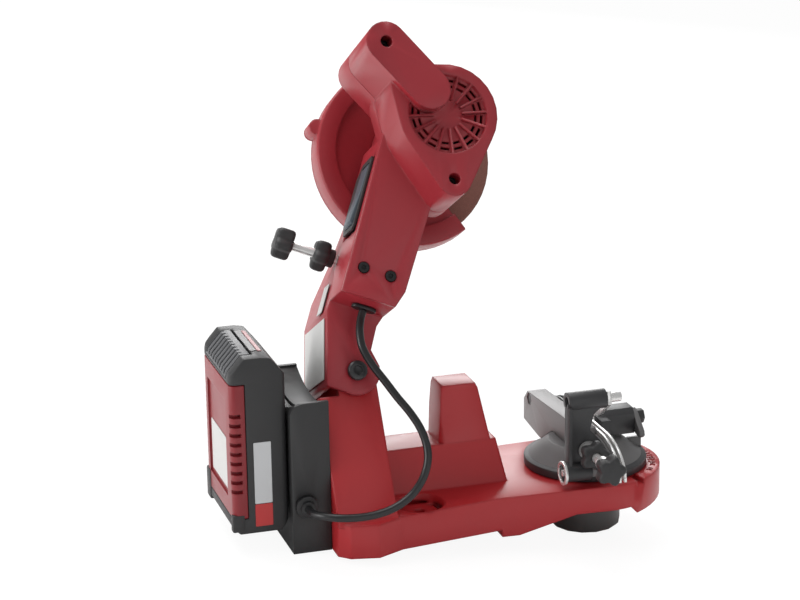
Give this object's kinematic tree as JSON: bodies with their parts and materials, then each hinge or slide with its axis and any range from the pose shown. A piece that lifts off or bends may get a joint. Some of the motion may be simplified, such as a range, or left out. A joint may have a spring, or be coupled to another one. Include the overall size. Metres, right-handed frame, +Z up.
{
  "type": "electric chainsaw sharpener",
  "caption": "Bench-mounted motor sharpener for saw chain: a swinging arm carries a grinding disc in a guard over a turning chain vise, with a slide-on battery in a dock at its rear.",
  "frame": {"origin": "on the bench face of the foot, midway between the two bench screw holes", "axes": "+X towards the chain vise, +Y away from the motor side, +Z up from the bench"},
  "size_m": [0.282, 0.2007, 0.327],
  "materials": {
    "red_shell": "fine moulded texture",
    "red_base": "die casting with a satin red powder coat",
    "black_plastic": "fine moulded texture",
    "black_casting": "die casting with satin black paint",
    "grey_plastic": "satin",
    "steel": "zinc plated",
    "dark_steel": "blackened",
    "motor_steel": "plain",
    "brass": "plain",
    "abrasive": "bonded grit",
    "label": "blank foil",
    "cable_rubber": "matt"
  },
  "bodies": {
    "base": {"base_casting": "red_base", "battery_dock": "black_plastic", "dock_screw_1": "steel", "dock_screw_2": "steel", "dock_cable_gland": "cable_rubber", "dock_contacts": "brass", "pivot_bush": "brass", "return_spring": "steel", "power_cable": "cable_rubber"},
    "arm": {"arm_shell_far": "red_shell", "arm_shell_near": "red_shell", "shell_screw_1": "dark_steel", "shell_screw_2": "dark_steel", "shell_screw_3": "dark_steel", "shell_screw_4": "dark_steel", "pivot_bolt": "dark_steel", "pivot_nut": "steel", "motor_can": "motor_steel", "motor_end_cap": "black_plastic", "front_bearing": "steel", "disc_guard": "red_shell", "guard_cover": "red_shell", "guard_screw_1": "steel", "guard_screw_2": "steel", "guard_screw_3": "steel", "label_plate": "label", "switch_bezel": "black_plastic", "arm_cable_gland": "cable_rubber"},
    "spindle": {"spindle": "steel", "rotor": "dark_steel", "cooling_fan": "black_plastic", "grinding_disc": "abrasive", "inner_flange": "steel", "outer_flange": "steel", "disc_nut": "steel"},
    "switch": {"switch_rocker": "grey_plastic"},
    "depth_screw": {"depth_screw": "steel"},
    "depth_knob": {"depth_knob": "black_plastic"},
    "depth_lock_knob": {"depth_lock_knob": "black_plastic"},
    "battery": {"battery_case": "black_plastic", "battery_cover": "red_shell"},
    "battery_latch": {"battery_latch": "grey_plastic"},
    "turntable": {"turntable": "black_plastic", "swivel_bolt": "steel", "vise_body": "black_casting", "fixed_rail": "steel", "rail_bolt_1": "dark_steel", "rail_bolt_2": "dark_steel", "bracket_pin": "steel"},
    "swivel_knob": {"swivel_knob": "black_plastic"},
    "moving_rail": {"moving_rail": "steel"},
    "clamp": {"clamp_screw": "steel", "clamp_lever": "black_casting"},
    "stop_bracket": {"stop_bracket": "black_casting", "bracket_spring": "steel"},
    "chain_pawl": {"stop_rod": "steel", "stop_pawl": "steel"},
    "stop_screw": {"stop_screw": "steel"},
    "stop_knob": {"stop_knob": "black_plastic"},
    "stop_lock_knob": {"stop_lock_knob": "black_plastic"}
  },
  "joints": [
    {"name": "arm_swing", "type": "hinge", "parent": "base", "child": "arm", "pos_m": [-0.032, 0.014, 0.0875], "axis": [0, 0.8829, -0.4695], "range_deg": [0, 56], "stiffness_Nm_per_rad": 0.6, "springref_deg": -91.67, "deforming": ["power_cable"]},
    {"name": "disc_spin", "type": "hinge", "parent": "arm", "child": "spindle", "pos_m": [0.0286, 0.0779, 0.20769], "axis": [0, -0.8829, 0.4695], "continuous": true},
    {"name": "switch_rock", "type": "hinge", "parent": "arm", "child": "switch", "pos_m": [-0.01558, 0.02539, 0.19838], "axis": [0, -0.8829, 0.4695], "range_deg": [0, 6]},
    {"name": "depth_screw_slide", "type": "slide", "parent": "arm", "child": "depth_screw", "axis": [0.9135, -0.191, -0.3591], "range_m": [-0.004, 0.008]},
    {"name": "depth_knob_turn", "type": "hinge", "parent": "depth_screw", "child": "depth_knob", "pos_m": [-0.05997, 0.03875, 0.17026], "axis": [0.9135, -0.191, -0.3591], "range_deg": [-1441, 2881]},
    {"name": "depth_lock_turn", "type": "hinge", "parent": "arm", "child": "depth_lock_knob", "pos_m": [-0.03804, 0.03417, 0.16165], "axis": [0.9135, -0.191, -0.3591], "range_deg": [-180, 180]},
    {"name": "battery_slide", "type": "slide", "parent": "base", "child": "battery", "axis": [0, 0, 1], "range_m": [0, 0.095]},
    {"name": "latch_press", "type": "slide", "parent": "battery", "child": "battery_latch", "axis": [1, 0, 0], "range_m": [0, 0.001], "stiffness_N_per_m": 1200, "springref_m": -0.0008},
    {"name": "vise_turn", "type": "hinge", "parent": "base", "child": "turntable", "pos_m": [0.12, 0, 0.021], "axis": [0, 0, 1], "range_deg": [-35, 35]},
    {"name": "swivel_knob_turn", "type": "hinge", "parent": "turntable", "child": "swivel_knob", "pos_m": [0.12, 0, -0.012], "axis": [0, 0, 1], "range_deg": [-180, 180]},
    {"name": "clamp_turn", "type": "hinge", "parent": "turntable", "child": "clamp", "pos_m": [0.14, 0, 0.047], "axis": [-1, 0, 0], "range_deg": [0, 60.1]},
    {"name": "rail_close", "type": "slide", "parent": "turntable", "child": "moving_rail", "axis": [-1, 0, 0], "range_m": [0, 0.0014]},
    {"name": "bracket_fold", "type": "hinge", "parent": "turntable", "child": "stop_bracket", "pos_m": [0.1, -0.04, 0.031], "axis": [1, 0, 0], "range_deg": [0, 75]},
    {"name": "pawl_lift", "type": "hinge", "parent": "stop_bracket", "child": "chain_pawl", "pos_m": [0.11, -0.036, 0.075], "axis": [1, 0, 0], "range_deg": [0, 75]},
    {"name": "stop_screw_slide", "type": "slide", "parent": "stop_bracket", "child": "stop_screw", "axis": [0, -1, 0], "range_m": [0, 0.006]},
    {"name": "stop_knob_turn", "type": "hinge", "parent": "stop_screw", "child": "stop_knob", "pos_m": [0.1054, -0.08, 0.045], "axis": [0, -1, 0], "range_deg": [-1, 2161]},
    {"name": "stop_lock_turn", "type": "hinge", "parent": "stop_bracket", "child": "stop_lock_knob", "pos_m": [0.1054, -0.054, 0.045], "axis": [0, -1, 0], "range_deg": [-180, 180]}
  ],
  "couplings": [
    {"joint": "depth_knob_turn", "follows": "depth_screw_slide", "rad_per_m": 6283.2},
    {"joint": "stop_knob_turn", "follows": "stop_screw_slide", "rad_per_m": 6283.2},
    {"joint": "clamp_turn", "follows": "rail_close", "rad_per_m": 747.9}
  ]
}
